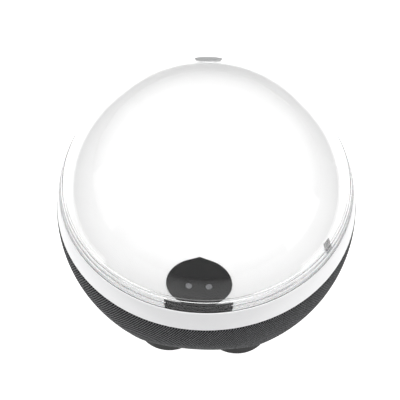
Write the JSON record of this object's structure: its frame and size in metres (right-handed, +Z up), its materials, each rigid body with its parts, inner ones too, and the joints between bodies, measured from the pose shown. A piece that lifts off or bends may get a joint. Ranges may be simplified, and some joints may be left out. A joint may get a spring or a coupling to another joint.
{
  "type": "smart speaker",
  "caption": "Ball-shaped smart speaker with a clear dome over a white diffuser, a dark front sensor window, a white trim ring, a dark knitted lower half and a lobed foot base.",
  "frame": {"origin": "on the surface that the speaker stands on, under the centre of the ball", "axes": "+Z up; -Y is the front, where the sensor window is; +X to the right seen from the front"},
  "size_m": [0.15, 0.15, 0.1463],
  "materials": {
    "black_plastic": "moulded, fine matt texture",
    "foot_rubber": "matt",
    "screw_steel": "zinc plated",
    "housing_plastic": "moulded",
    "knit_fabric": "knitted, stretched",
    "driver_steel": "powder coated",
    "gasket_rubber": "matt",
    "plated_steel": "zinc plated",
    "ferrite": "ground ceramic magnet",
    "copper_coil": "enamelled copper wire",
    "cone_paper": "pressed paper",
    "surround_rubber": "satin",
    "spider_cloth": "resin-stiffened cloth",
    "felt": "needled felt",
    "driver_aluminium": "anodised",
    "white_plastic": "moulded",
    "circuit_board": "solder mask",
    "tinned_steel": "tinned",
    "heatsink_aluminium": "extruded",
    "capacitor_can": "sleeved",
    "connector_plastic": "moulded",
    "white_trim": "satin white paint",
    "clear_acrylic": "polished acrylic",
    "opal_diffuser": "opal polycarbonate, fine matt",
    "led_lens": "cast silicone",
    "black_window": "polished infrared-clear black acrylic",
    "lens_glass": "polished",
    "smoked_plastic": "smoked, polished",
    "grey_insert": "moulded, fine matt",
    "silicone": "moulded silicone"
  },
  "bodies": {
    "housing": {"acoustic_chamber": "housing_plastic", "amplifier_heatsink": "heatsink_aluminium", "baffle_screws": "screw_steel", "base_plate": "black_plastic", "base_screws": "screw_steel", "board_connectors": "connector_plastic", "board_screws": "screw_steel", "button_board": "circuit_board", "button_domes": "silicone", "capacitors": "capacitor_can", "chamber_felt": "felt", "chamber_lid": "housing_plastic", "cover_dome": "clear_acrylic", "deck_plate": "white_plastic", "deflector_cone": "black_plastic", "diffuser_dome": "opal_diffuser", "dome_gasket": "silicone", "fabric_sleeve": "knit_fabric", "frame_screws": "screw_steel", "inlet_bezel": "black_plastic", "led_board": "circuit_board", "led_chips": "led_lens", "lid_screws": "screw_steel", "light_reflector": "white_plastic", "lower_housing": "housing_plastic", "main_board": "circuit_board", "microphones": "tinned_steel", "passive_frame_left": "housing_plastic", "passive_frame_right": "housing_plastic", "passive_surround_left": "surround_rubber", "passive_surround_right": "surround_rubber", "power_socket": "connector_plastic", "processor_shield": "tinned_steel", "rear_button_cup": "white_plastic", "rear_button_dome": "silicone", "rubber_feet": "foot_rubber", "sensor_board": "circuit_board", "sensor_lenses": "lens_glass", "sensor_window": "black_window", "side_marker": "grey_insert", "side_sensor": "smoked_plastic", "trim_ring": "white_trim", "wifi_aerials": "circuit_board", "woofer_baffle": "housing_plastic", "woofer_basket": "driver_steel", "woofer_gasket": "gasket_rubber", "woofer_magnet": "ferrite", "woofer_screws": "screw_steel", "woofer_spider": "spider_cloth", "woofer_surround": "surround_rubber", "woofer_top_plate": "plated_steel", "woofer_yoke": "plated_steel"},
    "woofer_driver": {"woofer_cone": "cone_paper", "dust_cap": "cone_paper", "voice_coil": "copper_coil"},
    "passive_left": {"passive_cone_left": "driver_aluminium"},
    "passive_right": {"passive_cone_right": "driver_aluminium"},
    "rear_key": {"rear_button": "grey_insert"},
    "volume_up_key": {"volume_up_button": "white_trim"},
    "volume_down_key": {"volume_down_button": "white_trim"}
  },
  "joints": [
    {"name": "woofer_stroke", "type": "slide", "parent": "housing", "child": "woofer_driver", "axis": [0, 0, 1], "range_m": [-0.003, 0.003], "stiffness_N_per_m": 1500, "deforming": ["woofer_surround", "woofer_spider"]},
    {"name": "passive_left_stroke", "type": "slide", "parent": "housing", "child": "passive_left", "axis": [-1, 0, 0], "range_m": [-0.003, 0.003], "stiffness_N_per_m": 1200, "deforming": ["passive_surround_left"]},
    {"name": "passive_right_stroke", "type": "slide", "parent": "housing", "child": "passive_right", "axis": [1, 0, 0], "range_m": [-0.003, 0.003], "stiffness_N_per_m": 1200, "deforming": ["passive_surround_right"]},
    {"name": "rear_press", "type": "slide", "parent": "housing", "child": "rear_key", "axis": [0.0239, -0.6841, -0.729], "range_m": [0, 0.001], "stiffness_N_per_m": 600, "springref_m": -0.002, "deforming": ["rear_button_dome"]},
    {"name": "volume_up_press", "type": "slide", "parent": "housing", "child": "volume_up_key", "axis": [0, -1, 0], "range_m": [0, 0.0008], "stiffness_N_per_m": 600, "springref_m": -0.002, "deforming": ["button_domes"]},
    {"name": "volume_down_press", "type": "slide", "parent": "housing", "child": "volume_down_key", "axis": [0, -1, 0], "range_m": [0, 0.0008], "stiffness_N_per_m": 600, "springref_m": -0.002}
  ]
}
